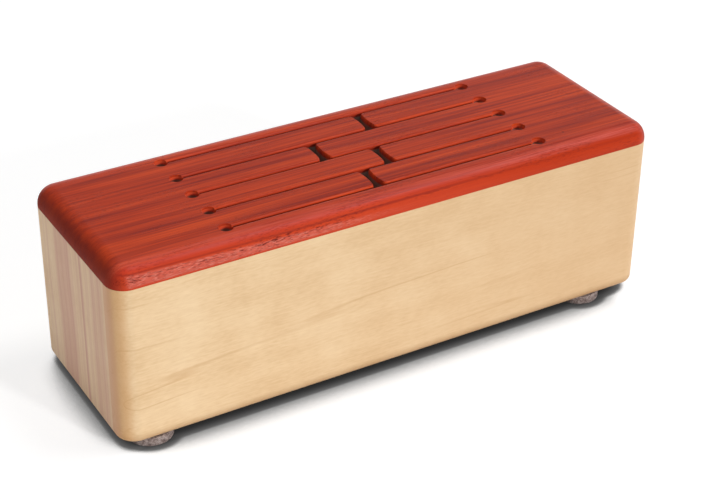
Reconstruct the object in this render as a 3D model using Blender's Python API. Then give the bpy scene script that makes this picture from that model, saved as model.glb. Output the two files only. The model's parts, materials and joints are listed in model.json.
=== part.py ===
"""Slit drum: a box of pale boards under a red playing board, which slits part into eight tongues.

Metres, +Z up. The origin is on the floor under the middle of the box, +X runs along its length,
and the front wall faces -Y.
"""

import math

import bmesh
import bpy

# Box
BOX_LENGTH = 0.450
BOX_WIDTH = 0.147
WALL_HEIGHT = 0.127
WALL_THICKNESS = 0.018
BASE_THICKNESS = 0.009
CORNER_RADIUS = 0.015
BASE_ROUND = 0.005

# Playing board
BOARD_THICKNESS = 0.015
BOARD_ROUND = 0.014

# Slits between the tongues, with a drilled hole at each end, and the rail outside the outer slits
SLIT_SPAN = 0.2624
RAIL_WIDTH = 0.0203
SLIT_KERF = 0.0018
HOLE_DIAMETER = 0.010
EDGE_EASING = 0.0024
HOLE_EASING = 0.0005
TIP_EASING = 0.0008

# Cross cuts that part each row into two tongues, from the back row to the front row
CUT_PLACES = (0.0325, -0.0220, 0.0175, -0.0075)
CUT_GAP = 0.006
TIP_CROWN = 0.0015
TIP_CORNER = 0.003

# Felt feet, placed by the margin from their rim to the outside of the box
FOOT_DIAMETER = 0.034
FOOT_HEIGHT = 0.007
FOOT_RIM_ROUND = 0.001
FOOT_SIDE_MARGIN = 0.0005
FOOT_LEFT_MARGIN = 0.0105
FOOT_RIGHT_MARGIN = 0.030

# Gap of a glue line, or of a tongue's root against the board
FIT_GAP = 0.0003

# Fineness of the round stretches
CORNER_STEPS = 6
ROUND_STEPS = 6
EASING_STEPS = 3
HOLE_STEPS = 8
TIP_STEPS = 6
FOOT_SIDES = 40
SMOOTH_ANGLE = math.radians(40)

# A round never takes more than this share of the wood it is cut from
ROUND_SHARE = 0.95

SEAM_HEIGHT = FOOT_HEIGHT + WALL_HEIGHT
ROWS = len(CUT_PLACES)
ROOT_X = SLIT_SPAN / 2
FIELD_HALF_WIDTH = BOX_WIDTH / 2 - RAIL_WIDTH
SLIT_PITCH = 2 * FIELD_HALF_WIDTH / ROWS
HOLE_RADIUS = HOLE_DIAMETER / 2
TONGUE_HALF_WIDTH = (SLIT_PITCH - SLIT_KERF) / 2
EASING_ROOM = ROUND_SHARE * min(TIP_CORNER, BOARD_THICKNESS, HOLE_RADIUS - SLIT_KERF / 2)
EASING = min(EDGE_EASING, EASING_ROOM)
HOLE_EASING_SHARE = min(HOLE_EASING / EASING, 1)
TIP_EASING_SHARE = min(TIP_EASING / EASING, 1)
FLAT_RAIL = RAIL_WIDTH - HOLE_RADIUS - HOLE_EASING_SHARE * EASING
TOP_ROUND = min(BOARD_ROUND, ROUND_SHARE * min(BOARD_THICKNESS, CORNER_RADIUS, FLAT_RAIL))
UNDER_ROUND = min(BASE_ROUND, ROUND_SHARE * min(CORNER_RADIUS, WALL_THICKNESS))


def clear_scene():
    for old in list(bpy.data.objects):
        bpy.data.objects.remove(old, do_unlink=True)


def plain_material(name, colour, roughness):
    material = bpy.data.materials.new(name)
    material.use_nodes = True
    shader = material.node_tree.nodes["Principled BSDF"]
    shader.inputs["Base Color"].default_value = (*colour, 1.0)
    shader.inputs["Roughness"].default_value = roughness
    shader.inputs["Metallic"].default_value = 0.0
    return material


def add_piece(name, shape, material, place=(0, 0, 0), parent=None):
    """Name a finished shape, give it its material and put it in its place."""
    bmesh.ops.recalc_face_normals(shape, faces=shape.faces)
    mesh = bpy.data.meshes.new(name)
    shape.to_mesh(mesh)
    shape.free()
    mesh.materials.append(material)
    mesh.shade_smooth()
    mesh.set_sharp_from_angle(angle=SMOOTH_ANGLE)
    piece = bpy.data.objects.new(name, mesh)
    piece.parent = parent
    piece.location = place
    bpy.context.scene.collection.objects.link(piece)
    return piece


def arc(centre, radius, start, end, steps):
    """Points on an arc from one angle to another, both ends included."""
    angles = [start + (end - start) * step / steps for step in range(steps + 1)]
    return [(centre[0] + radius * math.cos(a), centre[1] + radius * math.sin(a)) for a in angles]


def quarter_round(radius, steps):
    """Set-in and rise of a rounded upper edge, from its foot on the side to its end on top."""
    angles = [math.pi / 2 * step / steps for step in range(steps + 1)]
    return [(radius * (1 - math.cos(a)), radius * math.sin(a)) for a in angles]


def rounded_rectangle(set_in):
    """The box's outline seen from above, moved inwards by set_in."""
    radius = CORNER_RADIUS - set_in
    reach_x = BOX_LENGTH / 2 - CORNER_RADIUS
    reach_y = BOX_WIDTH / 2 - CORNER_RADIUS
    points = []
    for quarter, (side_x, side_y) in enumerate(((1, 1), (-1, 1), (-1, -1), (1, -1))):
        start = quarter * math.pi / 2
        centre = (side_x * reach_x, side_y * reach_y)
        points += arc(centre, radius, start, start + math.pi / 2, CORNER_STEPS)
    return points


def add_ring(shape, outline, height):
    return [shape.verts.new((x, y, height)) for x, y in outline]


def ring_edges(shape, ring):
    """The closed loop of edges through a ring of points."""
    edges = []
    for first, second in zip(ring, ring[1:] + ring[:1]):
        edges.append(shape.edges.get((first, second)) or shape.edges.new((first, second)))
    return edges


def skin(shape, rings):
    """Join each ring to the next with a band of faces."""
    for lower, upper in zip(rings, rings[1:]):
        count = len(lower)
        for place in range(count):
            after = (place + 1) % count
            shape.faces.new((lower[place], lower[after], upper[after], upper[place]))


def solid_of_rings(levels):
    """A closed solid from outlines at rising heights, capped at both ends."""
    shape = bmesh.new()
    rings = [add_ring(shape, outline, height) for outline, height in levels]
    skin(shape, rings)
    shape.faces.new(rings[0])
    shape.faces.new(rings[-1])
    return shape


def box_shape(low, high):
    shape = bmesh.new()
    bmesh.ops.create_cube(shape, size=1.0)
    for point in shape.verts:
        point.co = [
            low[axis] if point.co[axis] < 0 else high[axis]
            for axis in range(3)
        ]
    return shape


def make_box_outside(material):
    """The outside of the glued-up box: upright rounded corners and a rounded lower edge."""
    levels = []
    for set_in, rise in reversed(quarter_round(UNDER_ROUND, ROUND_STEPS)):
        levels.append((rounded_rectangle(set_in), FOOT_HEIGHT + UNDER_ROUND - rise))
    levels.append((rounded_rectangle(0), SEAM_HEIGHT + WALL_THICKNESS))
    outside = add_piece("box_outside", solid_of_rings(levels), material)
    outside.hide_render = True
    outside.display_type = "WIRE"
    return outside


def make_wall(name, low_xy, high_xy, outside, material):
    """A wall board, rough outside, then trimmed to the outside of the box."""
    low = (*low_xy, FOOT_HEIGHT - UNDER_ROUND)
    high = (*high_xy, SEAM_HEIGHT - FIT_GAP)
    wall = add_piece(name, box_shape(low, high), material)
    trim = wall.modifiers.new("trim_to_outside", "BOOLEAN")
    trim.operation = "INTERSECT"
    trim.solver = "EXACT"
    trim.object = outside
    return wall


def make_walls(outside, material):
    """Long walls over the full length, and end walls set between them."""
    rough_x = BOX_LENGTH / 2 + WALL_THICKNESS
    rough_y = BOX_WIDTH / 2 + WALL_THICKNESS
    inside_x = BOX_LENGTH / 2 - WALL_THICKNESS
    inside_y = BOX_WIDTH / 2 - WALL_THICKNESS
    end_y = inside_y - FIT_GAP
    make_wall("front_wall", (-rough_x, -rough_y), (rough_x, -inside_y), outside, material)
    make_wall("back_wall", (-rough_x, inside_y), (rough_x, rough_y), outside, material)
    make_wall("left_end_wall", (-rough_x, -end_y), (-inside_x, end_y), outside, material)
    make_wall("right_end_wall", (inside_x, -end_y), (rough_x, end_y), outside, material)


def make_bottom_board(material):
    """The board between the walls that closes the sound chamber, flush with their lower edges."""
    reach_x = BOX_LENGTH / 2 - WALL_THICKNESS - FIT_GAP
    reach_y = BOX_WIDTH / 2 - WALL_THICKNESS - FIT_GAP
    low = (-reach_x, -reach_y, FOOT_HEIGHT)
    high = (reach_x, reach_y, FOOT_HEIGHT + BASE_THICKNESS)
    add_piece("bottom_board", box_shape(low, high), material)


def field_side(easing):
    """The right-hand edge of the tongue field: five holes and the roots between them."""
    radius = HOLE_RADIUS + HOLE_EASING_SHARE * easing
    lead_in = math.pi - math.asin((SLIT_KERF / 2 + easing) / radius)
    points = []
    for slit in range(ROWS + 1):
        centre = (ROOT_X, slit * SLIT_PITCH - FIELD_HALF_WIDTH)
        start = -lead_in if slit == 0 else -math.pi / 2
        end = lead_in if slit == ROWS else math.pi / 2
        points += arc(centre, radius, start, end, HOLE_STEPS)
    return points


def field_outline(easing):
    """The opening in the playing board that the tongues fill, widened by the eased edge."""
    right = field_side(easing)
    left = [(-x, -y) for x, y in right]
    return right + left


def make_playing_board(material):
    """The rim of the playing board round the tongues, in its own frame from the seam up."""
    shape = bmesh.new()
    outer = [add_ring(shape, rounded_rectangle(0), 0)]
    for set_in, rise in quarter_round(TOP_ROUND, ROUND_STEPS):
        height = BOARD_THICKNESS - TOP_ROUND + rise
        outer.append(add_ring(shape, rounded_rectangle(set_in), height))
    inner = [add_ring(shape, field_outline(0), 0)]
    for widening, rise in quarter_round(EASING, EASING_STEPS):
        height = BOARD_THICKNESS - EASING + rise
        inner.append(add_ring(shape, field_outline(widening), height))
    skin(shape, outer)
    skin(shape, inner)
    for end in (0, -1):
        edges = ring_edges(shape, outer[end]) + ring_edges(shape, inner[end])
        bmesh.ops.triangle_fill(shape, edges=edges, use_beauty=True)
    return add_piece("top_board", shape, material, (0, 0, SEAM_HEIGHT))


def tongue_outline(length, set_in):
    """A tongue from its root to its crowned tip, along +X, with a hole's quarter at each root corner."""
    notch = HOLE_RADIUS + HOLE_EASING_SHARE * set_in
    notch_in = math.acos(FIT_GAP / notch)
    notch_out = math.asin((SLIT_KERF / 2 + set_in) / notch)
    crown_radius = (TONGUE_HALF_WIDTH**2 + TIP_CROWN**2) / (2 * TIP_CROWN)
    crown_centre = length - crown_radius
    tip_radius = crown_radius - TIP_EASING_SHARE * set_in
    corner_radius = TIP_CORNER - set_in
    corner_y = TONGUE_HALF_WIDTH - TIP_CORNER
    corner_reach = math.sqrt((tip_radius - corner_radius) ** 2 - corner_y**2)
    corner_angle = math.atan2(corner_y, corner_reach)
    corner = (crown_centre + corner_reach, -corner_y)
    near_hole = (0, -SLIT_PITCH / 2)
    lower = arc(near_hole, notch, notch_in, notch_out, HOLE_STEPS)
    lower += arc(corner, corner_radius, -math.pi / 2, -corner_angle, CORNER_STEPS)
    upper = [(x, -y) for x, y in reversed(lower)]
    tip = arc((crown_centre, 0), tip_radius, -corner_angle, corner_angle, TIP_STEPS)
    return lower + tip[1:-1] + upper


def make_tongue(name, row, side, board, material):
    """One tongue. Its origin is on the bending line at its root, half-way up the board."""
    length = ROOT_X - side * CUT_PLACES[row] - CUT_GAP / 2
    levels = [(0, 0)]
    for set_in, rise in quarter_round(EASING, EASING_STEPS):
        levels.append((set_in, BOARD_THICKNESS - EASING + rise))
    rings = []
    for set_in, height in levels:
        outline = [(-side * x, y) for x, y in tongue_outline(length, set_in)]
        rings.append((outline, height - BOARD_THICKNESS / 2))
    row_y = FIELD_HALF_WIDTH - (row + 0.5) * SLIT_PITCH
    root = (side * ROOT_X, row_y, BOARD_THICKNESS / 2)
    add_piece(name, solid_of_rings(rings), material, root, board)


def make_tongues(board, material):
    for row in range(ROWS):
        for side, side_name in ((-1, "left"), (1, "right")):
            make_tongue(f"tongue_row{row + 1}_{side_name}", row, side, board, material)


def make_foot(name, place, material):
    """A felt disc with a softened rim, standing on the floor."""
    height = FOOT_HEIGHT - FIT_GAP
    shape = bmesh.new()
    bmesh.ops.create_cone(
        shape, cap_ends=True, segments=FOOT_SIDES,
        radius1=FOOT_DIAMETER / 2, radius2=FOOT_DIAMETER / 2, depth=height,
    )
    rims = [edge for edge in shape.edges if abs(edge.verts[0].co.z - edge.verts[1].co.z) < height / 2]
    rim_round = min(FOOT_RIM_ROUND, ROUND_SHARE * height / 2)
    bmesh.ops.bevel(shape, geom=rims, offset=rim_round, segments=2, profile=0.5, affect="EDGES")
    add_piece(name, shape, material, (*place, height / 2))


def make_feet(material):
    radius = FOOT_DIAMETER / 2
    left = FOOT_LEFT_MARGIN + radius - BOX_LENGTH / 2
    right = BOX_LENGTH / 2 - FOOT_RIGHT_MARGIN - radius
    side = BOX_WIDTH / 2 - FOOT_SIDE_MARGIN - radius
    for depth_name, y in (("front", -side), ("back", side)):
        for side_name, x in (("left", left), ("right", right)):
            make_foot(f"foot_{depth_name}_{side_name}", (x, y), material)


def main():
    clear_scene()
    red_wood = plain_material("red_wood", (0.42, 0.065, 0.028), 0.42)
    pale_wood = plain_material("pale_wood", (0.82, 0.62, 0.38), 0.5)
    base_wood = plain_material("base_wood", (0.70, 0.54, 0.35), 0.6)
    felt = plain_material("felt", (0.26, 0.22, 0.20), 0.95)
    outside = make_box_outside(pale_wood)
    make_walls(outside, pale_wood)
    make_bottom_board(base_wood)
    board = make_playing_board(red_wood)
    make_tongues(board, red_wood)
    make_feet(felt)


main()
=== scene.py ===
# %% [markdown]
# # A slit drum
#
# A slit drum is a closed wooden box under a thick playing board. Slits free tongues of wood in
# that board, and a struck tongue sounds over the air in the box. This lesson dresses the packed
# construction model of such a drum: first its pieces, then its woods and felt, then the light.

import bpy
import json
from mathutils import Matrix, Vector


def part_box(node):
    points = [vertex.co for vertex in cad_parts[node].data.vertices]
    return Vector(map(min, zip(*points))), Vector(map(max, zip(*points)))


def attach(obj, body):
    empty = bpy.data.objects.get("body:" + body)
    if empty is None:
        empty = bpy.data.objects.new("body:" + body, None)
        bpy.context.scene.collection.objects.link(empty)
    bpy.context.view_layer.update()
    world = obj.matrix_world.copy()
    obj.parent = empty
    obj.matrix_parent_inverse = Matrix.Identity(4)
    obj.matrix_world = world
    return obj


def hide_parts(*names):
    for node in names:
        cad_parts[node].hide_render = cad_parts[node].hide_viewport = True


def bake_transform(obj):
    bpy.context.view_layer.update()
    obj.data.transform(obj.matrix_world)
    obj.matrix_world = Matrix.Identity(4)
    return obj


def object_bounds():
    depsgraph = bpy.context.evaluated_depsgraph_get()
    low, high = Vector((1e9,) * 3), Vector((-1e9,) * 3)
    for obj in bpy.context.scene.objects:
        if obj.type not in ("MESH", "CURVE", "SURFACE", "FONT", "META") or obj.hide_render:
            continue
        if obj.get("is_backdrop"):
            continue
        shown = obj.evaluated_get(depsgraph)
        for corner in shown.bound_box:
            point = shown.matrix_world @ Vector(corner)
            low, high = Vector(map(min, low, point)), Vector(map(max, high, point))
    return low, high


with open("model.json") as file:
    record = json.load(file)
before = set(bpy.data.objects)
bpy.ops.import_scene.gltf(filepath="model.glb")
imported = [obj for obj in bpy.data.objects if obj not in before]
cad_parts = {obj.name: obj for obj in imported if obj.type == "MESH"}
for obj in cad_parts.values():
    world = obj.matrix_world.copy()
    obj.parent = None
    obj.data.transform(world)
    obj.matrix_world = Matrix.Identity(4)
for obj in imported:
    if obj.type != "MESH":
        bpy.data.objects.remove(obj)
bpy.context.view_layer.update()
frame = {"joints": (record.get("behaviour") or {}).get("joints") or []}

# %% [markdown]
# ## Sizes
#
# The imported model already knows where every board, tongue and foot lies, so most sizes are read
# from it. Radii can't be read from a box of corners. They are written here once, in metres.

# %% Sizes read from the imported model
board_low, board_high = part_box("top_board")
front_low, front_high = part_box("front_wall")

HALF_LENGTH = board_high.x
HALF_WIDTH = board_high.y
SEAM = board_low.z
TOP = board_high.z
UNDERSIDE = front_low.z
WALL = front_high.y - front_low.y
print(f"box {2000 * HALF_LENGTH:.0f} x {2000 * HALF_WIDTH:.0f} mm, seam at {1000 * SEAM:.0f} mm")

# %% Radii that a maker would note on the drawing
CORNER_RADIUS = 0.015
BOARD_ROUND = 0.014
LOWER_ROUND = 0.005
HOLE_RADIUS = 0.005
HOLE_EASING = 0.0005
EASING = 0.0024
TIP_EASING = 0.0008
TIP_CROWN = 0.0015
TIP_CORNER = 0.003

# %% [markdown]
# ## Outlines and rings
#
# Every board of the drum is an outline seen from above that changes a little on its way up: a
# rounded edge is the same outline, moved inwards in small steps. So a piece is made as a stack of
# rings of points, joined by bands of faces. A Bevel modifier could round the edges too, but it
# can't keep a drilled hole, a slit and a rounded tip in step as one ring does.

# %% Points on arcs and rounded edges
import math

import bmesh
import bpy


def arc(centre, radius, start, end, steps):
    """Points on an arc from one angle to another, both ends included."""
    angles = [start + (end - start) * step / steps for step in range(steps + 1)]
    return [(centre[0] + radius * math.cos(a), centre[1] + radius * math.sin(a)) for a in angles]


def quarter_round(radius, steps):
    """How far a rounded edge moves in and rises, from its foot on the side to its end on top."""
    return [(radius - x, y) for x, y in arc((0, 0), radius, 0, math.pi / 2, steps)]


SHOWN_STEPS = 4
shown = quarter_round(BOARD_ROUND, SHOWN_STEPS)
steps = [f"{1000 * set_in:.1f} in and {1000 * rise:.1f} up" for set_in, rise in shown]
print(f"a {1000 * BOARD_ROUND:.0f} mm round in {SHOWN_STEPS} steps, in mm:", ", ".join(steps))

# %% Rings of points and the bands between them


def add_ring(shape, outline, height):
    """New points along an outline, all at one height."""
    return [shape.verts.new((x, y, height)) for x, y in outline]


def skin(shape, rings):
    """Join each ring to the next with a band of faces."""
    for lower, upper in zip(rings, rings[1:]):
        count = len(lower)
        for place in range(count):
            after = (place + 1) % count
            shape.faces.new((lower[place], lower[after], upper[after], upper[place]))


def closed_stack(levels):
    """A closed solid from outlines at rising heights."""
    shape = bmesh.new()
    rings = [add_ring(shape, outline, height) for outline, height in levels]
    skin(shape, rings)
    shape.faces.new(rings[0])
    shape.faces.new(rings[-1])
    return shape


# %% [markdown]
# A finished shape becomes a piece. Smooth shading runs over the round edges, and the Weighted
# Normal modifier keeps the large flat faces flat, where plain smooth shading would bend the light
# near every edge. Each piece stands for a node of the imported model, which is then hidden.

# %% A shape becomes a piece
CREASE = math.radians(35)


def make_piece(name, shape, slot, *nodes):
    """An object made from a shape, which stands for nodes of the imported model."""
    bmesh.ops.recalc_face_normals(shape, faces=shape.faces)
    mesh = bpy.data.meshes.new(name)
    shape.to_mesh(mesh)
    shape.free()
    mesh.shade_smooth()
    mesh.set_sharp_from_angle(angle=CREASE)
    piece = bpy.data.objects.new(name, mesh)
    bpy.context.scene.collection.objects.link(piece)
    flats = piece.modifiers.new("flat_faces", "WEIGHTED_NORMAL")
    flats.keep_sharp = True
    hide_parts(*nodes)
    print(f"{name}: {len(mesh.polygons)} faces")
    return piece


# %% [markdown]
# ## The rim of the playing board
#
# On the real drum the rim and the tongues are one board of red hardwood. Its outer edge is rounded
# over with a router, and a hole is drilled at each end of each slit, so that the wood doesn't split
# there. The rim is a stack of rings outside, a second stack round the field of tongues inside, and
# a flat fill between the two.

# %% The field of tongues, read from the joints
bends = {joint["child"]: joint for joint in frame["joints"]}
ROWS = len(bends) // 2
ROOT_X = max(joint["pos_m"][0] for joint in frame["joints"])
row_places = [bends[f"row{row}_left"]["pos_m"][1] for row in range(1, ROWS + 1)]
PITCH = row_places[0] - row_places[1]
FIELD_HALF_WIDTH = ROWS * PITCH / 2
tongue_low, tongue_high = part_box("tongue_row1_left")
TONGUE_HALF_WIDTH = (tongue_high.y - tongue_low.y) / 2
HALF_KERF = PITCH / 2 - TONGUE_HALF_WIDTH
print(f"{ROWS} rows, {1000 * PITCH:.1f} mm apart, with slits of {2000 * HALF_KERF:.1f} mm")

# %% Outlines of the rim
CORNER_STEPS = 16
ROUND_STEPS = 16
HOLE_STEPS = 20
EASING_STEPS = 6


def rounded_rectangle(set_in):
    """The box's outline seen from above, moved inwards by set_in."""
    points = []
    for quarter, (side_x, side_y) in enumerate(((1, 1), (-1, 1), (-1, -1), (1, -1))):
        centre = (side_x * (HALF_LENGTH - CORNER_RADIUS), side_y * (HALF_WIDTH - CORNER_RADIUS))
        start = quarter * math.pi / 2
        points += arc(centre, CORNER_RADIUS - set_in, start, start + math.pi / 2, CORNER_STEPS)
    return points


def field_outline(widening):
    """The opening that the tongues fill: half a hole at each slit's end, and roots between them."""
    radius = HOLE_RADIUS + widening * HOLE_EASING / EASING
    lead_in = math.pi - math.asin((HALF_KERF + widening) / radius)
    right = []
    for slit in range(ROWS + 1):
        centre = (ROOT_X, slit * PITCH - FIELD_HALF_WIDTH)
        start = -lead_in if slit == 0 else -math.pi / 2
        end = lead_in if slit == ROWS else math.pi / 2
        right += arc(centre, radius, start, end, HOLE_STEPS)
    return right + [(-x, -y) for x, y in right]


# %% The rim itself


def ring_edges(shape, ring):
    """The edges from each point of a ring to the next."""
    pairs = zip(ring, ring[1:] + ring[:1])
    return [shape.edges.get(pair) or shape.edges.new(pair) for pair in pairs]


def rim_shape():
    shape = bmesh.new()
    outer = [add_ring(shape, rounded_rectangle(0), SEAM)]
    for set_in, rise in quarter_round(BOARD_ROUND, ROUND_STEPS):
        outer.append(add_ring(shape, rounded_rectangle(set_in), TOP - BOARD_ROUND + rise))
    inner = [add_ring(shape, field_outline(0), SEAM)]
    for widening, rise in quarter_round(EASING, EASING_STEPS):
        inner.append(add_ring(shape, field_outline(widening), TOP - EASING + rise))
    skin(shape, outer)
    skin(shape, inner)
    for end in (0, -1):
        edges = ring_edges(shape, outer[end]) + ring_edges(shape, inner[end])
        bmesh.ops.triangle_fill(shape, edges=edges, use_beauty=True)
    return shape


playing_board = make_piece("playing_board_rim", rim_shape(), "red_wood", "top_board")
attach(playing_board, "drum_box")

# %% [markdown]
# ## The tongues
#
# A tongue grows out of the rim at its root and is free along both slits and at its crowned tip. Its
# root meets the rim with no gap, because it is the same wood. When it is struck it bends near the
# root, so each mesh is sliced across a few times there. A tongue that turned stiffly on a hinge
# would open a crack in the board.

# %% A tongue's outline
TIP_STEPS = 16


def tongue_outline(length, set_in):
    """From the root along +X to the crowned tip, with a hole's quarter at each root corner."""
    notch = HOLE_RADIUS + set_in * HOLE_EASING / EASING
    notch_end = math.asin((HALF_KERF + set_in) / notch)
    crown_radius = (TONGUE_HALF_WIDTH**2 + TIP_CROWN**2) / (2 * TIP_CROWN)
    crown_centre = length - crown_radius
    tip_radius = crown_radius - set_in * TIP_EASING / EASING
    corner_radius = TIP_CORNER - set_in
    corner_y = TONGUE_HALF_WIDTH - TIP_CORNER
    corner_reach = math.sqrt((tip_radius - corner_radius) ** 2 - corner_y**2)
    corner_angle = math.atan2(corner_y, corner_reach)
    corner = (crown_centre + corner_reach, -corner_y)
    lower = arc((0, -PITCH / 2), notch, math.pi / 2, notch_end, HOLE_STEPS)
    lower += arc(corner, corner_radius, -math.pi / 2, -corner_angle, CORNER_STEPS)
    upper = [(x, -y) for x, y in reversed(lower)]
    tip = arc((crown_centre, 0), tip_radius, -corner_angle, corner_angle, TIP_STEPS)
    return lower + tip[1:-1] + upper


# %% Eight tongues, sliced near their roots
BEND_REACH = 0.060
BEND_SLICES = 8


def make_tongue(row, side, side_name):
    name = f"row{row}_{side_name}"
    root = bends[name]["pos_m"]
    low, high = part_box(f"tongue_{name}")
    length = ROOT_X - low.x if side > 0 else ROOT_X + high.x
    eased = quarter_round(EASING, EASING_STEPS)
    levels = [(0, SEAM)] + [(set_in, TOP - EASING + rise) for set_in, rise in eased]
    stack = []
    for set_in, height in levels:
        outline = [(root[0] - side * x, root[1] + y) for x, y in tongue_outline(length, set_in)]
        stack.append((outline, height))
    shape = closed_stack(stack)
    for cut in range(1, BEND_SLICES + 1):
        place = (root[0] - side * BEND_REACH * cut / BEND_SLICES, 0, 0)
        everything = [*shape.verts, *shape.edges, *shape.faces]
        bmesh.ops.bisect_plane(shape, geom=everything, plane_co=place, plane_no=(1, 0, 0))
    tongue = make_piece(f"sounding_tongue_{name}", shape, "red_wood", f"tongue_{name}")
    bend_end = (root[0] - side * BEND_REACH, root[1], root[2])
    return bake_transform(tongue)


tongues = [
    make_tongue(row, side, side_name)
    for row in range(1, ROWS + 1)
    for side, side_name in ((-1, "left"), (1, "right"))
]

# %% [markdown]
# ## The walls
#
# The long walls run the full length, and the end walls are glued in between them. The box is
# rounded after it is glued, so the round of an upright corner is cut in the long walls and shows
# their end grain. Each wall is a stack of its own outline, with its lower edge rounded where it
# shows. The glue lines stay open by less than a tenth of a millimetre, enough for a fine line.

# %% Long walls and end walls
GLUE_LINE = 0.00006
WALL_ROUND_STEPS = 10


def long_wall_outline(set_in):
    """The front wall seen from above: round a corner, along the front, round the other corner."""
    corner = (CORNER_RADIUS - HALF_LENGTH, CORNER_RADIUS - HALF_WIDTH)
    left = [(set_in - HALF_LENGTH, WALL - HALF_WIDTH)]
    left += arc(corner, CORNER_RADIUS - set_in, math.pi, 1.5 * math.pi, CORNER_STEPS)
    return left + [(-x, y) for x, y in reversed(left)]


def end_wall_outline(set_in):
    """The left wall seen from above, between the glue lines of the long walls."""
    reach = HALF_WIDTH - WALL - GLUE_LINE
    outside = set_in - HALF_LENGTH
    inside = WALL - HALF_LENGTH
    return [(outside, reach), (outside, -reach), (inside, -reach), (inside, reach)]


def wall_shape(outline, turn_x, turn_y):
    """A wall on its rounded lower edge, turned to its side of the box."""
    levels = []
    for set_in, rise in reversed(quarter_round(LOWER_ROUND, WALL_ROUND_STEPS)):
        levels.append((set_in, UNDERSIDE + LOWER_ROUND - rise))
    levels.append((0, SEAM - GLUE_LINE))
    turned = []
    for set_in, height in levels:
        turned.append(([(turn_x * x, turn_y * y) for x, y in outline(set_in)], height))
    return closed_stack(turned)


front = wall_shape(long_wall_outline, 1, 1)
back = wall_shape(long_wall_outline, 1, -1)
left_end = wall_shape(end_wall_outline, 1, 1)
right_end = wall_shape(end_wall_outline, -1, 1)
long_walls = [
    make_piece("front_board", front, "pale_wood", "front_wall"),
    make_piece("back_board", back, "pale_wood", "back_wall"),
]
end_walls = [
    make_piece("left_end_board", left_end, "pale_wood", "left_end_wall"),
    make_piece("right_end_board", right_end, "pale_wood", "right_end_wall"),
]
for wall in long_walls + end_walls:
    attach(wall, "drum_box")

# %% [markdown]
# ## The bottom board
#
# A thinner board closes the box from below. Only its underside shows, with a sanded edge all round
# that leaves a shallow line against the walls.

# %% Bottom board with a sanded edge
SANDED_EDGE = 0.0006
SANDED_STEPS = 3


def bottom_shape():
    low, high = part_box("bottom_board")
    shape = bmesh.new()
    bmesh.ops.create_cube(shape, size=1)
    middle = (low + high) / 2
    bmesh.ops.scale(shape, vec=high - low, verts=shape.verts)
    bmesh.ops.translate(shape, vec=middle, verts=shape.verts)
    sanded = [edge for edge in shape.edges if all(point.co.z < middle.z for point in edge.verts)]
    bmesh.ops.bevel(
        shape, geom=sanded, offset=SANDED_EDGE, segments=SANDED_STEPS, profile=0.5, affect="EDGES"
    )
    return shape


base_board = make_piece("base_board", bottom_shape(), "base_wood", "bottom_board")
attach(base_board, "drum_box")

# %% [markdown]
# ## The felt feet
#
# Four discs of pressed felt keep the box off the table, so that it rings freely. Felt is punched
# from a sheet, and its rim is soft and never quite round. The disc is a stack of rings whose points
# a smooth noise pushes in and out, which is what a sculptor's inflate brush would do by hand.

# %% Felt discs with an uneven rim
from mathutils import Vector, noise

FELT_SIDES = 96
FELT_RIM = 0.0006
FELT_RIM_STEPS = 6
FELT_SIDE_RINGS = 5
FELT_RAGGED = 0.0002
FELT_LUMPS = 900
FOOT_NAMES = ("front_left", "front_right", "back_left", "back_right")


def foot_circle(name):
    """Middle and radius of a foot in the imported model."""
    low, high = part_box(f"foot_{name}")
    return (low + high) / 2, (high.x - low.x) / 2


def felt_levels(radius, height):
    """Radius and height of each ring, from the flat underside to the flat top."""
    rounded = quarter_round(FELT_RIM, FELT_RIM_STEPS)
    lower = [(radius - set_in, FELT_RIM - rise) for set_in, rise in rounded]
    side = [
        (radius, FELT_RIM + (height - 2 * FELT_RIM) * ring / FELT_SIDE_RINGS)
        for ring in range(1, FELT_SIDE_RINGS)
    ]
    upper = [(ring_radius, height - low) for ring_radius, low in lower]
    return list(reversed(lower)) + side + upper


def foot_shape(name):
    middle, reach = foot_circle(name)
    radius = reach - FELT_RAGGED
    stack = []
    for ring_radius, height in felt_levels(radius, UNDERSIDE):
        outline = []
        for x, y in arc((0, 0), 1, 0, math.tau * (1 - 1 / FELT_SIDES), FELT_SIDES - 1):
            on_rim = Vector((middle.x + radius * x, middle.y + radius * y, height))
            lumpy = ring_radius + FELT_RAGGED * noise.noise(on_rim * FELT_LUMPS)
            outline.append((middle.x + lumpy * x, middle.y + lumpy * y))
        stack.append((outline, height))
    return closed_stack(stack)


feet = []
for name in FOOT_NAMES:
    foot = make_piece(f"felt_disc_{name}", foot_shape(name), "felt", f"foot_{name}")
    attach(foot, "drum_box")
    feet.append(foot)

# %% [markdown]
# ## Sums on shader sockets
#
# A finish is a small sum over the surface: so much streak, so much pore, darker on the end grain.
# Wiring each Math node by hand hides that sum. The class below wraps one socket, and Python's own
# operators add the nodes, so that a finish reads like the sum it is.

# %% A socket that can be added and multiplied


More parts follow.
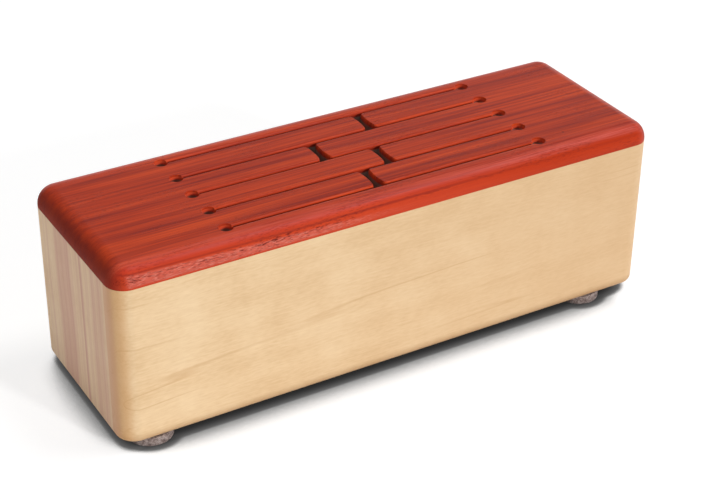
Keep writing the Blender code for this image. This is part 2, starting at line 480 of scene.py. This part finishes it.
class Wire:
    """One socket of a shader. Operators add Math nodes, or Vector Math nodes for a vector."""

    def __init__(self, tree, socket=None):
        self.tree = tree
        self.socket = socket

    def node(self, kind, settings=None, sockets=None, output=0):
        """Any node: its settings first, then the values or wires of its sockets."""
        made = self.tree.nodes.new(f"ShaderNode{kind}")
        for name, value in (settings or {}).items():
            if name == "stops":
                lay_stops(made.color_ramp.elements, value)
            else:
                setattr(made, name, value)
        for name, value in (sockets or {}).items():
            if isinstance(value, Wire):
                self.tree.links.new(value.socket, made.inputs[name])
            else:
                made.inputs[name].default_value = value
        return Wire(self.tree, made.outputs[output])

    def sum_of(self, operation, first, second):
        wires = [side for side in (first, second) if isinstance(side, Wire)]
        vector = any(wire.socket.type != "VALUE" for wire in wires)
        kind = "VectorMath" if vector else "Math"
        if vector:
            first, second = as_vector(first), as_vector(second)
        return self.node(kind, {"operation": operation}, {0: first, 1: second})

    def __add__(self, other):
        return self.sum_of("ADD", self, other)

    def __radd__(self, other):
        return self.sum_of("ADD", other, self)

    def __sub__(self, other):
        return self.sum_of("SUBTRACT", self, other)

    def __rsub__(self, other):
        return self.sum_of("SUBTRACT", other, self)

    def __mul__(self, other):
        return self.sum_of("MULTIPLY", self, other)

    def __rmul__(self, other):
        return self.sum_of("MULTIPLY", other, self)

    def __abs__(self):
        return self.node("Math", {"operation": "ABSOLUTE"}, {0: self})


def as_vector(side):
    """A wire or a vector as it is, and a plain number three times over."""
    return side if isinstance(side, (Wire, tuple)) else (side,) * 3


def lay_stops(elements, stops):
    """Put a colour ramp's stops where a list of places and colours says."""
    while len(elements) < len(stops):
        elements.new(1)
    for element, (place, colour) in zip(elements, stops):
        element.position = place
        element.color = colour


# %% Patterns that more than one finish uses


def screen_colour(red, green, blue):
    """A colour as a screen shows it, 0 to 255, in the linear light that a shader works in."""
    linear = []
    for level in (red / 255, green / 255, blue / 255):
        linear.append(level / 12.92 if level <= 0.04045 else ((level + 0.055) / 1.055) ** 2.4)
    return (*linear, 1)


def cloud(place, stretch, detail=2, roughness=0.5):
    """Soft noise, 0 to 1, with so many lumps to the metre along each axis."""
    sockets = {"Vector": place * stretch, "Scale": 1, "Detail": detail, "Roughness": roughness}
    return place.node("TexNoise", None, sockets)


def above(value, low, high):
    """0 below low, 1 above high and a soft step between."""
    sockets = {"Value": value, "From Min": low, "From Max": high}
    return value.node("MapRange", {"interpolation_type": "SMOOTHSTEP"}, sockets)


def between(value, low, high, edge):
    """1 from low to high, and 0 outside, with soft edges."""
    return above(value, low - edge, low + edge) * (1 - above(value, high - edge, high + edge))


def blend_colours(share, first, second):
    """The first colour where share is 0, and the second where it is 1."""
    mix = {"data_type": "RGBA", "clamp_factor": True}
    return share.node("Mix", mix, {0: share, 6: first, 7: second}, output=2)


def part_of(vector, axis):
    """The x, y or z of a vector, for axis 0, 1 or 2."""
    return vector.node("SeparateXYZ", None, {0: vector}, output=axis)


def distance(place, point):
    """How far each place lies from one point."""
    return place.node("VectorMath", {"operation": "DISTANCE"}, {0: place, 1: point}, output="Value")


def side_gap(place):
    """How far a place lies inside the drum's nearer long side."""
    return HALF_WIDTH - abs(part_of(place, 1))


def start_finish(name):
    """A new material and a wire to start its sums from."""
    material = bpy.data.materials.new(name)
    material.use_nodes = True
    return material, Wire(material.node_tree)


def end_finish(material, colour, roughness, height, bump_depth, **constants):
    """Feed the shader what changes over the surface, and set what doesn't on its own sockets."""
    tree = material.node_tree
    shader = tree.nodes["Principled BSDF"]
    relief = height.node("Bump", None, {"Strength": 1, "Distance": bump_depth, "Height": height})
    tree.links.new(colour.socket, shader.inputs["Base Color"])
    tree.links.new(roughness.socket, shader.inputs["Roughness"])
    tree.links.new(relief.socket, shader.inputs["Normal"])
    for name, value in constants.items():
        shader.inputs[name.replace("_", " ")].default_value = value
    print(f"{material.name}: {len(tree.nodes)} nodes")
    return material


# %% [markdown]
# ## The red hardwood
#
# The board is a dense tropical hardwood, orange to blood red, with darker stripes along its length
# and open pores like short pencil strokes. Wood is solid, so the pattern is made in the drum's own
# space and not on its surface: a stripe then runs over the rounded edge and down the end as it
# does in real wood. The finish is laid in steps. Most are short functions that take the colour so
# far and give it back changed.

# %% Where a place lies on the board
CUT_REACH = HOLE_RADIUS + HOLE_EASING
FIELD_END = ROOT_X + CUT_REACH
FIELD_SIDE = FIELD_HALF_WIDTH + CUT_REACH
FIELD_BLUR = 0.001
EDGE_DEPTH = (0.006, 0.008)
RIGHT_PART = (0.00, 0.14)
LEFT_PART = (-0.10, 0.02)


def in_tongue_field(place):
    """1 over the tongues and their slit ends, and 0 on the rim round them."""
    in_length = 1 - above(abs(part_of(place, 0)), FIELD_END, FIELD_END + FIELD_BLUR)
    in_width = 1 - above(abs(part_of(place, 1)), FIELD_SIDE, FIELD_SIDE + FIELD_BLUR)
    return in_length * in_width


def at_long_edge(place):
    """1 on the lower part of the rounded long edges, and 0 further in."""
    return 1 - above(side_gap(place), *EDGE_DEPTH)


def rightward(place):
    """0 on the left half of the board, rising to 1 towards the right end."""
    return above(part_of(place, 0), *RIGHT_PART)


def leftward(place):
    """1 towards the left end, falling to 0 at the middle of the board."""
    return 1 - above(part_of(place, 0), *LEFT_PART)


# %% Stripes, streaks and hairs
RAIL = (0.0075, 0.0235)
DEEPER_RIGHT = (-0.10, 0.20)


def red_stripes(place, grain):
    """Board colour with painted sheen on the rails, and streaks and hairs for later steps."""
    stripes = cloud(grain, (2.2, 95, 60), detail=2)
    streaks = cloud(grain, (7, 360, 230), detail=4, roughness=0.6)
    hairs = cloud(grain, (26, 1500, 1100), detail=2)
    # Painted sheen: the front rail's tone is lifted a little lighter.
    front_rail_sheen = 1 - above(part_of(place, 1) + HALF_WIDTH, *RAIL)
    tone = 0.36 * stripes + 0.42 * streaks + 0.22 * hairs + 0.02 * front_rail_sheen
    tone = tone - 0.02 * above(part_of(place, 0), *DEEPER_RIGHT)
    stops = [
        (0.39, screen_colour(150, 44, 32)),
        (0.47, screen_colour(183, 57, 29)),
        (0.53, screen_colour(201, 66, 30)),
        (0.62, screen_colour(221, 79, 32)),
    ]
    colour = tone.node("ValToRGB", {"stops": stops}, {0: tone})
    # Painted sheen: both rails get a lighter, pinker tint.
    rail_sheen = 1 - above(side_gap(place), *RAIL)
    colour = blend_colours(0.24 * rail_sheen, colour, screen_colour(220, 92, 80))
    dark_lines = above(cloud(grain, (4, 400, 180), detail=2), 0.58, 0.70)
    colour = blend_colours(0.26 * dark_lines, colour, screen_colour(118, 38, 40))
    return colour, streaks, hairs


# %% [markdown]
# Down the long sides the rounded edge has a pale, open-pored band just above the seam, which fades
# to the right, a thin dark line higher up, and a line of pores that rises to the right. The edge is
# deeper in colour than the flat top, and a painted sheen, lighter and pinker, lies where it starts
# to turn.

# %% The rounded edge


def rounded_edge(colour, place, facing, hairs, rim):
    """Deeper red as the edge turns upright, most of all at the right, and a painted sheen."""
    slope = abs(part_of(facing, 1)) * rim
    right = rightward(place)
    upright = above(slope, 0.30, 0.80)
    colour = blend_colours(0.60 * upright, colour, screen_colour(192, 58, 26))
    colour = blend_colours(0.55 * upright * right, colour, screen_colour(180, 48, 4))
    # Painted sheen: where the edge turns, its colour is made redder and less green.
    colour = blend_colours(between(slope, 0.45, 0.70, 0.15), colour, colour * (1.08, 0.90, 1.0))
    # Painted sheen: a lighter, pinker band where the edge starts to turn, broken by the hairs.
    sheen = between(slope, 0.10, 0.40, 0.08) * (1 - right)
    sheen = sheen + between(slope, 0.24, 0.74, 0.08) * right
    painted_sheen = sheen * above(hairs, 0.30, 0.65)
    return blend_colours(0.34 * painted_sheen, colour, screen_colour(224, 112, 100))


# %% Bands down the edge
PALE_BAND_FOOT = (SEAM + 0.0010, SEAM + 0.0030)
PALE_BAND_TOP = (SEAM + 0.0043, SEAM + 0.0063)
PALE_BAND_FALL = 0.021
DARK_LINE = (SEAM + 0.0087, SEAM + 0.0097)
DARK_LINE_BLUR = 0.0006
DARK_LINE_FALL = 0.005


def edge_bands(colour, place, facing, grain):
    """The colour with the pale band and the dark line in it, and where the pale band lies."""
    height = part_of(grain, 2)
    band_top = height + PALE_BAND_FALL * part_of(place, 0)
    pale_band = above(height, *PALE_BAND_FOOT) * (1 - above(band_top, *PALE_BAND_TOP))
    pale_band = pale_band * at_long_edge(place) * leftward(place)
    pale_band = pale_band * (1 - above(abs(part_of(facing, 0)), 0.15, 0.40))
    colour = blend_colours(0.45 * pale_band, colour, screen_colour(214, 116, 102))
    flecks = above(cloud(grain, (240, 1300, 1300), detail=1), 0.50, 0.62) * pale_band
    colour = blend_colours(0.30 * flecks, colour, screen_colour(228, 156, 140))
    line_height = height + DARK_LINE_FALL * part_of(place, 0)
    dark_line = between(line_height, *DARK_LINE, DARK_LINE_BLUR) * at_long_edge(place)
    dark_line = dark_line * (1 - 0.8 * rightward(place))
    colour = blend_colours(0.50 * dark_line, colour, screen_colour(122, 34, 34))
    return colour, pale_band


# %% Open pores
PORE_LINE = (SEAM + 0.0070, SEAM + 0.0106)
PORE_LINE_BLUR = 0.0012
PORE_LINE_RISE = 0.012


def open_pores(place, grain, pale_band):
    """Short strokes: in loose crowds, in the pale band, and in patches along the pore line."""
    line_height = part_of(grain, 2) - PORE_LINE_RISE * part_of(place, 0)
    near_line = between(line_height, *PORE_LINE, PORE_LINE_BLUR) * at_long_edge(place)
    patches = 0.5 * above(cloud(grain, (55, 300, 300), detail=2), 0.44, 0.60)
    long_strokes = above(cloud(grain, (230, 1100, 1100), detail=1), 0.52, 0.60)
    pore_line = near_line * (patches + 0.6 * leftward(place)) * long_strokes
    crowds = 0.5 * above(cloud(grain, (12, 60, 60), detail=1), 0.46, 0.66)
    strokes = above(cloud(grain, (280, 1600, 1600), detail=1), 0.56, 0.64)
    return strokes * (crowds + 0.5 * pale_band) + pore_line


# %% [markdown]
# The ends of the fibres drink more oil, so the board's two ends are darker. In the cuts, the slits
# get painted shade and the drilled bore walls painted light, and deeper down the cuts turn grey as
# a painted deep shade. One pin knot shows near the front right corner. Deeper down no oil has
# reached the wood, and it is
# grey with dust. One pin knot shows near the front right corner.

# %% Ends, cuts and a knot
CUT_SHADING_DEPTH = (0.0008, 0.0018)
DEEP_SHADE_DEPTH = (0.0030, 0.0050)
BORE_START = ROOT_X - CUT_REACH
PIN_KNOT = (0.1556, -0.0506, TOP)
PIN_KNOT_RADIUS = 0.0012


def board_ends(colour, facing, rim):
    """The colour with dark end grain, and where the end grain lies."""
    along = abs(part_of(facing, 0))
    over_end = above(along, 0.10, 0.60) * rim
    colour = blend_colours(0.40 * over_end, colour, screen_colour(186, 58, 30))
    end_grain = above(along, 0.35, 0.95) * rim
    colour = blend_colours(0.60 * end_grain, colour, screen_colour(96, 20, 12))
    return colour, end_grain


def cut_faces(colour, place, facing, in_field):
    """Painted shade in the slits, painted light on the bore walls, and grey painted shade further
    down.
    """
    depth = TOP - part_of(place, 2)
    at_bores = above(abs(part_of(place, 0)), BORE_START - FIELD_BLUR, BORE_START)
    cut = in_field * above(depth, *CUT_SHADING_DEPTH)
    # Painted shade on the slit faces, left off the tips' end faces.
    slit_shade = cut * (1 - at_bores) * (1 - above(abs(part_of(facing, 0)), 0.5, 0.8))
    colour = blend_colours(0.5 * slit_shade, colour, screen_colour(112, 32, 26))
    # Painted light on the drilled bore walls.
    colour = blend_colours(0.7 * cut * at_bores, colour, screen_colour(232, 88, 56))
    # Painted deep shade: the cuts turn grey further down.
    deep_shade = in_field * above(depth, *DEEP_SHADE_DEPTH)
    return blend_colours(0.85 * deep_shade, colour, screen_colour(150, 135, 125))


def pin_knot(colour, place):
    """A small dark dot with a soft edge."""
    knot = 1 - above(distance(place, PIN_KNOT), 0.4 * PIN_KNOT_RADIUS, PIN_KNOT_RADIUS)
    return blend_colours(0.8 * knot, colour, screen_colour(70, 18, 16))


# %% Red wood from all its steps
RED_RELIEF = 0.0001


def red_wood_finish():
    material, start = start_finish("red_wood_oiled")
    place = start.node("TexCoord", output="Object")
    facing = start.node("TexCoord", output="Normal")
    sway = cloud(place, (4, 14, 14), detail=1) - 0.5
    grain = place + start.node("CombineXYZ", None, {"Y": 0.005 * sway, "Z": 0.003 * sway})
    in_field = in_tongue_field(place)
    rim = 1 - in_field

    colour, streaks, hairs = red_stripes(place, grain)
    colour = rounded_edge(colour, place, facing, hairs, rim)
    colour, pale_band = edge_bands(colour, place, facing, grain)
    pores = open_pores(place, grain, pale_band)
    colour = blend_colours(0.6 * pores, colour, screen_colour(92, 24, 24))
    colour, end_grain = board_ends(colour, facing, rim)
    colour = cut_faces(colour, place, facing, in_field)
    colour = pin_knot(colour, place)

    roughness = 0.30 + 0.10 * streaks + 0.25 * pores + 0.30 * end_grain
    height = 0.3 * hairs + 0.2 * streaks - 1.0 * pores
    return end_finish(material, colour, roughness, height, RED_RELIEF, Specular_IOR_Level=0.13)


red_wood = red_wood_finish()
for piece in [playing_board, *tongues]:
    piece.data.materials.append(red_wood)

# %% [markdown]
# ## The pale wood
#
# The walls are a pale, even wood under a clear satin lacquer. The long walls have level grain with
# a few faint slanting lines, a little painted shade along their lower edge, and darker end grain
# round their corners. The end walls have upright grain with cream and pinkish stripes. Both start
# from the same plain ground, stretched along their own grain, and each then adds its own marks.

# %% Pale ground that both share
PALE_RELIEF = 0.00005


def pale_ground(place, grain, stretched):
    """Colour, fibres and flecks of plain pale wood."""
    blotches = cloud(place, (26, 26, 26), detail=3)
    bands = cloud(grain, stretched(2.5, 60), detail=2)
    fibres = cloud(grain, stretched(45, 900), detail=2)
    flecks = cloud(grain, stretched(160, 600), detail=1)
    tone = 0.35 * blotches + 0.25 * bands + 0.20 * fibres + 0.20 * flecks
    stops = [
        (0.38, screen_colour(226, 191, 146)),
        (0.50, screen_colour(236, 204, 161)),
        (0.62, screen_colour(243, 214, 173)),
    ]
    colour = tone.node("ValToRGB", {"stops": stops}, {0: tone})
    return colour, fibres, flecks


def end_pale(material, colour, fibres, flecks):
    """The satin lacquer and fine relief that both pale finishes end with."""
    roughness = 0.42 + 0.10 * fibres
    height = 0.6 * fibres + 0.4 * flecks
    return end_finish(material, colour, roughness, height, PALE_RELIEF, Specular_IOR_Level=0.30)


# %% Level grain
LOW_EDGE_SHADE = (UNDERSIDE + 0.0035, UNDERSIDE + 0.0095)
RIGHT_DARKENING = (-0.26, 0.30)
LEFT_TO_RIGHT = (-0.1, 0.1)
FRONT_TO_BACK = (-0.02, 0.02)


def level_wood_finish():
    material, start = start_finish("pale_wood_level")
    place = start.node("TexCoord", output="Object")
    facing = start.node("TexCoord", output="Normal")
    sway = cloud(place, (9, 9, 9), detail=1) - 0.5
    grain = place + start.node("CombineXYZ", None, {"Z": 0.006 * sway})

    def stretched(lengthwise, across):
        return (lengthwise, across, across)

    colour, fibres, flecks = pale_ground(place, grain, stretched)
    # Darker towards the right end.
    right_darkening = above(part_of(place, 0), *RIGHT_DARKENING)
    colour = blend_colours(0.55 * right_darkening, colour, screen_colour(212, 172, 128))
    ridge = 1 - abs(2 * cloud(grain, stretched(1.6, 42), detail=1) - 1)
    stretches = above(cloud(grain, stretched(5, 24), detail=1), 0.46, 0.60)
    year_lines = above(ridge, 0.965, 0.998) * stretches
    colour = blend_colours(0.40 * year_lines, colour, screen_colour(202, 156, 104))
    # Painted shade along the lower edge.
    low_edge_shade = 1 - above(part_of(place, 2), *LOW_EDGE_SHADE)
    colour = blend_colours(low_edge_shade, colour, colour * (0.80, 0.73, 0.67))
    along = abs(part_of(facing, 0))
    left_front = 1 - above(part_of(place, 0), *LEFT_TO_RIGHT)
    left_front = left_front * (1 - above(part_of(place, 1), *FRONT_TO_BACK))
    golden = (0.15 + 0.45 * left_front) * above(along, 0.20, 0.75)
    colour = blend_colours(golden, colour, screen_colour(215, 160, 100))
    rosy = (0.10 + 0.25 * left_front) * above(along, 0.80, 1.00)
    colour = blend_colours(rosy, colour, screen_colour(218, 154, 130))
    return end_pale(material, colour, fibres, flecks)


# %% Upright grain
BROAD_BAND = (0.003, 0.031)
THIN_BAND = (-0.0165, -0.0125)
EDGE_BAND = (-0.050, -0.030)
BAND_BLUR = 0.004
THIN_BLUR = 0.0012


def upright_wood_finish():
    material, start = start_finish("pale_wood_upright")
    place = start.node("TexCoord", output="Object")
    facing = start.node("TexCoord", output="Normal")
    sway = cloud(place, (9, 9, 9), detail=1) - 0.5
    grain = place + start.node("CombineXYZ", None, {"Y": 0.010 * sway})

    def stretched(lengthwise, across):
        return (across, across, lengthwise)

    colour, fibres, flecks = pale_ground(place, grain, stretched)
    across = part_of(grain, 1)
    mauve = 0.3 + 0.7 * between(across, *BROAD_BAND, BAND_BLUR)
    mauve = mauve + between(across, *THIN_BAND, THIN_BLUR)
    mauve = mauve + 0.5 * between(across, *EDGE_BAND, BAND_BLUR)
    mauve = mauve + 0.3 * above(cloud(grain, stretched(2, 330), detail=2), 0.44, 0.62)
    mauve = mauve * (0.4 + 1.2 * cloud(grain, stretched(1.5, 260), detail=2))
    colour = blend_colours(0.55 * mauve, colour, screen_colour(208, 146, 127))
    along = abs(part_of(facing, 2))
    colour = blend_colours(0.60 * above(along, 0.30, 0.95), colour, screen_colour(206, 148, 98))
    return end_pale(material, colour, fibres, flecks)


level_wood = level_wood_finish()
upright_wood = upright_wood_finish()
for wall in long_walls:
    wall.data.materials.append(level_wood)
for wall in end_walls:
    wall.data.materials.append(upright_wood)

# %% [markdown]
# ## Base wood and felt
#
# The bottom board is sanded plywood, with broad rotary-cut figure on its face. Felt is a mat of
# light and dark wool fibres, so its colour is speckled at the width of a few fibres and it hardly
# shines.

# %% Plywood underneath
BASE_RELIEF = 0.0001


def base_wood_finish():
    material, start = start_finish("base_wood_sanded")
    place = start.node("TexCoord", output="Object")
    sway = cloud(place, (5, 9, 9), detail=2) - 0.5
    grain = place + start.node("CombineXYZ", None, {"Y": 0.03 * sway})
    figure = cloud(grain, (3, 60, 60), detail=3)
    fibres = cloud(grain, (40, 800, 800), detail=2)
    tone = 0.7 * figure + 0.3 * fibres
    stops = [
        (0.35, screen_colour(196, 160, 116)),
        (0.50, screen_colour(216, 184, 140)),
        (0.65, screen_colour(228, 200, 160)),
    ]
    colour = tone.node("ValToRGB", {"stops": stops}, {0: tone})
    roughness = 0.58 + 0.12 * fibres
    height = fibres + 0.4 * figure
    return end_finish(material, colour, roughness, height, BASE_RELIEF, Specular_IOR_Level=0.3)


base_wood = base_wood_finish()
base_board.data.materials.append(base_wood)

# %% Pressed felt
FELT_RELIEF = 0.0008


def felt_finish():
    material, start = start_finish("felt_pressed")
    place = start.node("TexCoord", output="Object")
    tufts = cloud(place, (420, 420, 420), detail=2)
    fibres = cloud(place, (1500, 1500, 1500), detail=3, roughness=0.7)
    tone = 0.45 * tufts + 0.55 * fibres
    stops = [
        (0.36, screen_colour(92, 76, 72)),
        (0.50, screen_colour(144, 125, 120)),
        (0.62, screen_colour(194, 178, 172)),
    ]
    colour = tone.node("ValToRGB", {"stops": stops}, {0: tone})
    roughness = 0.9 + 0.1 * fibres
    return end_finish(
        material, colour, roughness, tone, FELT_RELIEF, Specular_IOR_Level=0.1, Sheen_Weight=0.3
    )


felt = felt_finish()
for foot in feet:
    foot.data.materials.append(felt)

# %% [markdown]
# ## Floor and light
#
# The drum stands on a white floor, as on a sheet of studio paper. The white is the floor's own glow
# to the camera: more light instead would bleach the wood. Beside the drum the floor is dark where
# it sees little of the sky, which an Ambient Occlusion node measures, and darkest in the crevice
# below the box. A little painted shadow lies close to the feet, and painted light past the right
# end.

# %% How open the floor is to the sky
CONTACT_REACH = 0.07
CONTACT_SAMPLES = 32
FOOT_SHADE = 0.20
FOOT_SHADE_REACH = 0.009
BOX_EDGE = (0, 0.006)
RIGHT_LIGHT = 0.20
PAST_RIGHT_END = (0.190, 0.225)


def foot_shade(place):
    """A painted shadow on the floor: 1 where a foot meets the floor, and 0 a little way off."""
    shade = 0
    for name in FOOT_NAMES:
        middle, radius = foot_circle(name)
        foot_gap = distance(place, (middle.x, middle.y, 0))
        shade = shade + 1 - above(foot_gap, radius, radius + FOOT_SHADE_REACH)
    return shade


def floor_openness(start):
    """Open sky a place sees, less painted shadow at the feet, and painted light past the right end.
    """
    place = start.node("TexCoord", output="Object")
    nearby = {"Distance": CONTACT_REACH}
    sky = start.node("AmbientOcclusion", {"samples": CONTACT_SAMPLES}, nearby, output="AO")
    end_gap = HALF_LENGTH - abs(part_of(place, 0))
    under_box = above(side_gap(place), *BOX_EDGE) * above(end_gap, *BOX_EDGE)
    # Painted shadow close to the feet, outside the box's outline.
    sky = sky - FOOT_SHADE * foot_shade(place) * (1 - under_box)
    # Painted light on the floor past the right end.
    return sky + RIGHT_LIGHT * above(part_of(place, 0), *PAST_RIGHT_END)


# %% White floor
FLOOR_REACH = 6
CREVICE_OPENNESS = (0.12, 0.55)
PAPER_OPENNESS = (0.45, 0.68)
DEEP_CREVICE = 0.025
SHALLOW_CREVICE = 0.14
PAPER_WHITE = 0.97
FLOOR_GLOW = 0.76
LIT_SHARE = 0.45
FLOOR_ROUGHNESS = 0.9


def grey(level):
    return (level, level, level, 1)


def seen_directly(start):
    """1 for the camera, a mirror or a glass that looks here, and 0 for light that is scattered."""
    camera = start.node("LightPath", output="Is Camera Ray")
    mirror = start.node("LightPath", output="Is Glossy Ray")
    return camera + mirror + start.node("LightPath", output="Is Transmission Ray")


def floor_finish():
    """White paper, darker in the crevice that the drum makes with it."""
    material, start = start_finish("floor_white")
    openness = floor_openness(start)
    shallow = above(openness, *CREVICE_OPENNESS)
    crevice = blend_colours(shallow, grey(DEEP_CREVICE), grey(SHALLOW_CREVICE))
    paper = blend_colours(above(openness, *PAPER_OPENNESS), crevice, grey(PAPER_WHITE))
    seen = seen_directly(start)
    lit = blend_colours(seen, paper, paper * LIT_SHARE)
    glow = blend_colours(seen, grey(0), paper)
    shader = material.node_tree.nodes["Principled BSDF"]
    material.node_tree.links.new(lit.socket, shader.inputs["Base Color"])
    material.node_tree.links.new(glow.socket, shader.inputs["Emission Color"])
    shader.inputs["Emission Strength"].default_value = FLOOR_GLOW
    shader.inputs["Roughness"].default_value = FLOOR_ROUGHNESS
    shader.inputs["Specular IOR Level"].default_value = 0
    return material


def white_floor():
    shape = bmesh.new()
    bmesh.ops.create_grid(shape, x_segments=1, y_segments=1, size=FLOOR_REACH)
    mesh = bpy.data.meshes.new("floor")
    shape.to_mesh(mesh)
    shape.free()
    mesh.materials.append(floor_finish())
    floor = bpy.data.objects.new("floor", mesh)
    bpy.context.scene.collection.objects.link(floor)
    floor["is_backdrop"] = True
    print(f"floor: {2 * FLOOR_REACH} m across")


white_floor()

# %% [markdown]
# Four far lamps light the drum: one low in front for the long wall, one overhead for the board, and
# two wide and low ones from the left and the back. Only the overhead lamp shows in reflections, so
# the board has one soft sheen.

# %% Soft lamps


def soft_lamp(name, towards, softness, level, mirrored):
    """A far lamp, softness degrees wide. A white sheet that faces it shows at level."""
    light = bpy.data.lights.new(name, "SUN")
    light.angle = math.radians(softness)
    light.energy = level * math.pi
    lamp = bpy.data.objects.new(name, light)
    lamp.rotation_euler = Vector(towards).to_track_quat("Z", "Y").to_euler()
    lamp.visible_glossy = mirrored
    bpy.context.scene.collection.objects.link(lamp)
    height = math.degrees(math.asin(Vector(towards).normalized().z))
    print(f"{name}: level {level} from {height:.0f} degrees above the floor")


soft_lamp("front_lamp", (0.34, -0.87, 0.35), softness=6, level=0.56, mirrored=False)
soft_lamp("overhead_lamp", (0.43, -0.14, 0.89), softness=20, level=0.29, mirrored=True)
soft_lamp("left_lamp", (-0.97, -0.15, 0.20), softness=30, level=0.13, mirrored=False)
soft_lamp("back_lamp", (0.25, 0.94, 0.22), softness=40, level=0.28, mirrored=False)

# %% [markdown]
# The world is white to the camera and dim as a light, so that the lamps shape the drum. In
# reflections it goes from white near the horizon to dark overhead and at the left, because a board
# that mirrors a white sky all over looks milky.

# %% A white studio round it
AMBIENT = 0.22
REFLECTED_FADE = (-0.11, 0.44)
REFLECTED_DARK = 0.05


def studio_world():
    world = bpy.data.worlds.new("white_studio")
    bpy.context.scene.world = world
    world.use_nodes = True
    tree = world.node_tree
    start = Wire(tree)
    seen = seen_directly(start)
    direction = start.node("TexCoord", output="Generated")
    up_and_left = part_of(direction, 2) - 0.5 * part_of(direction, 0)
    mirrored = blend_colours(above(up_and_left, *REFLECTED_FADE), grey(1), grey(REFLECTED_DARK))
    colour = blend_colours(seen, grey(AMBIENT), grey(1))
    colour = blend_colours(start.node("LightPath", output="Is Glossy Ray"), colour, mirrored)
    tree.links.new(colour.socket, tree.nodes["Background"].inputs["Color"])
    print(f"{world.name}: level {AMBIENT} as a light")


studio_world()
bpy.context.scene.view_settings.view_transform = "Standard"

# %% [markdown]
# ## Camera
#
# The camera looks down on the drum from its front left corner. A long lens keeps the box's edges
# nearly parallel, and a slight roll sets the far edges at the slope that they are seen at.

# %% Camera
from mathutils import Quaternion

CAMERA_PLACE = Vector((-0.5784, -0.9865, 0.7563))
CAMERA_AIM = Vector((-0.00045, -0.00553, 0.06676))
CAMERA_ROLL = math.radians(0.605)
SENSOR_WIDTH = 36
LENS = 88.474

lens = bpy.data.cameras.new("camera")
lens.sensor_width = SENSOR_WIDTH
lens.lens = LENS
camera = bpy.data.objects.new("camera", lens)
camera.location = CAMERA_PLACE
camera.rotation_mode = "QUATERNION"
straight = (CAMERA_AIM - CAMERA_PLACE).to_track_quat("-Z", "Y")
camera.rotation_quaternion = straight @ Quaternion((0, 0, 1), CAMERA_ROLL)
bpy.context.scene.collection.objects.link(camera)
bpy.context.scene.camera = camera
print(f"camera {(CAMERA_AIM - CAMERA_PLACE).length:.2f} m away, lens {LENS:.0f} mm")

# %% Write the sizes and finish
import json

visual_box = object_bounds()
sides = [f"{1000 * (high - low):.1f}" for low, high in zip(*visual_box)]
print("dressed drum:", " x ".join(sides), "mm")
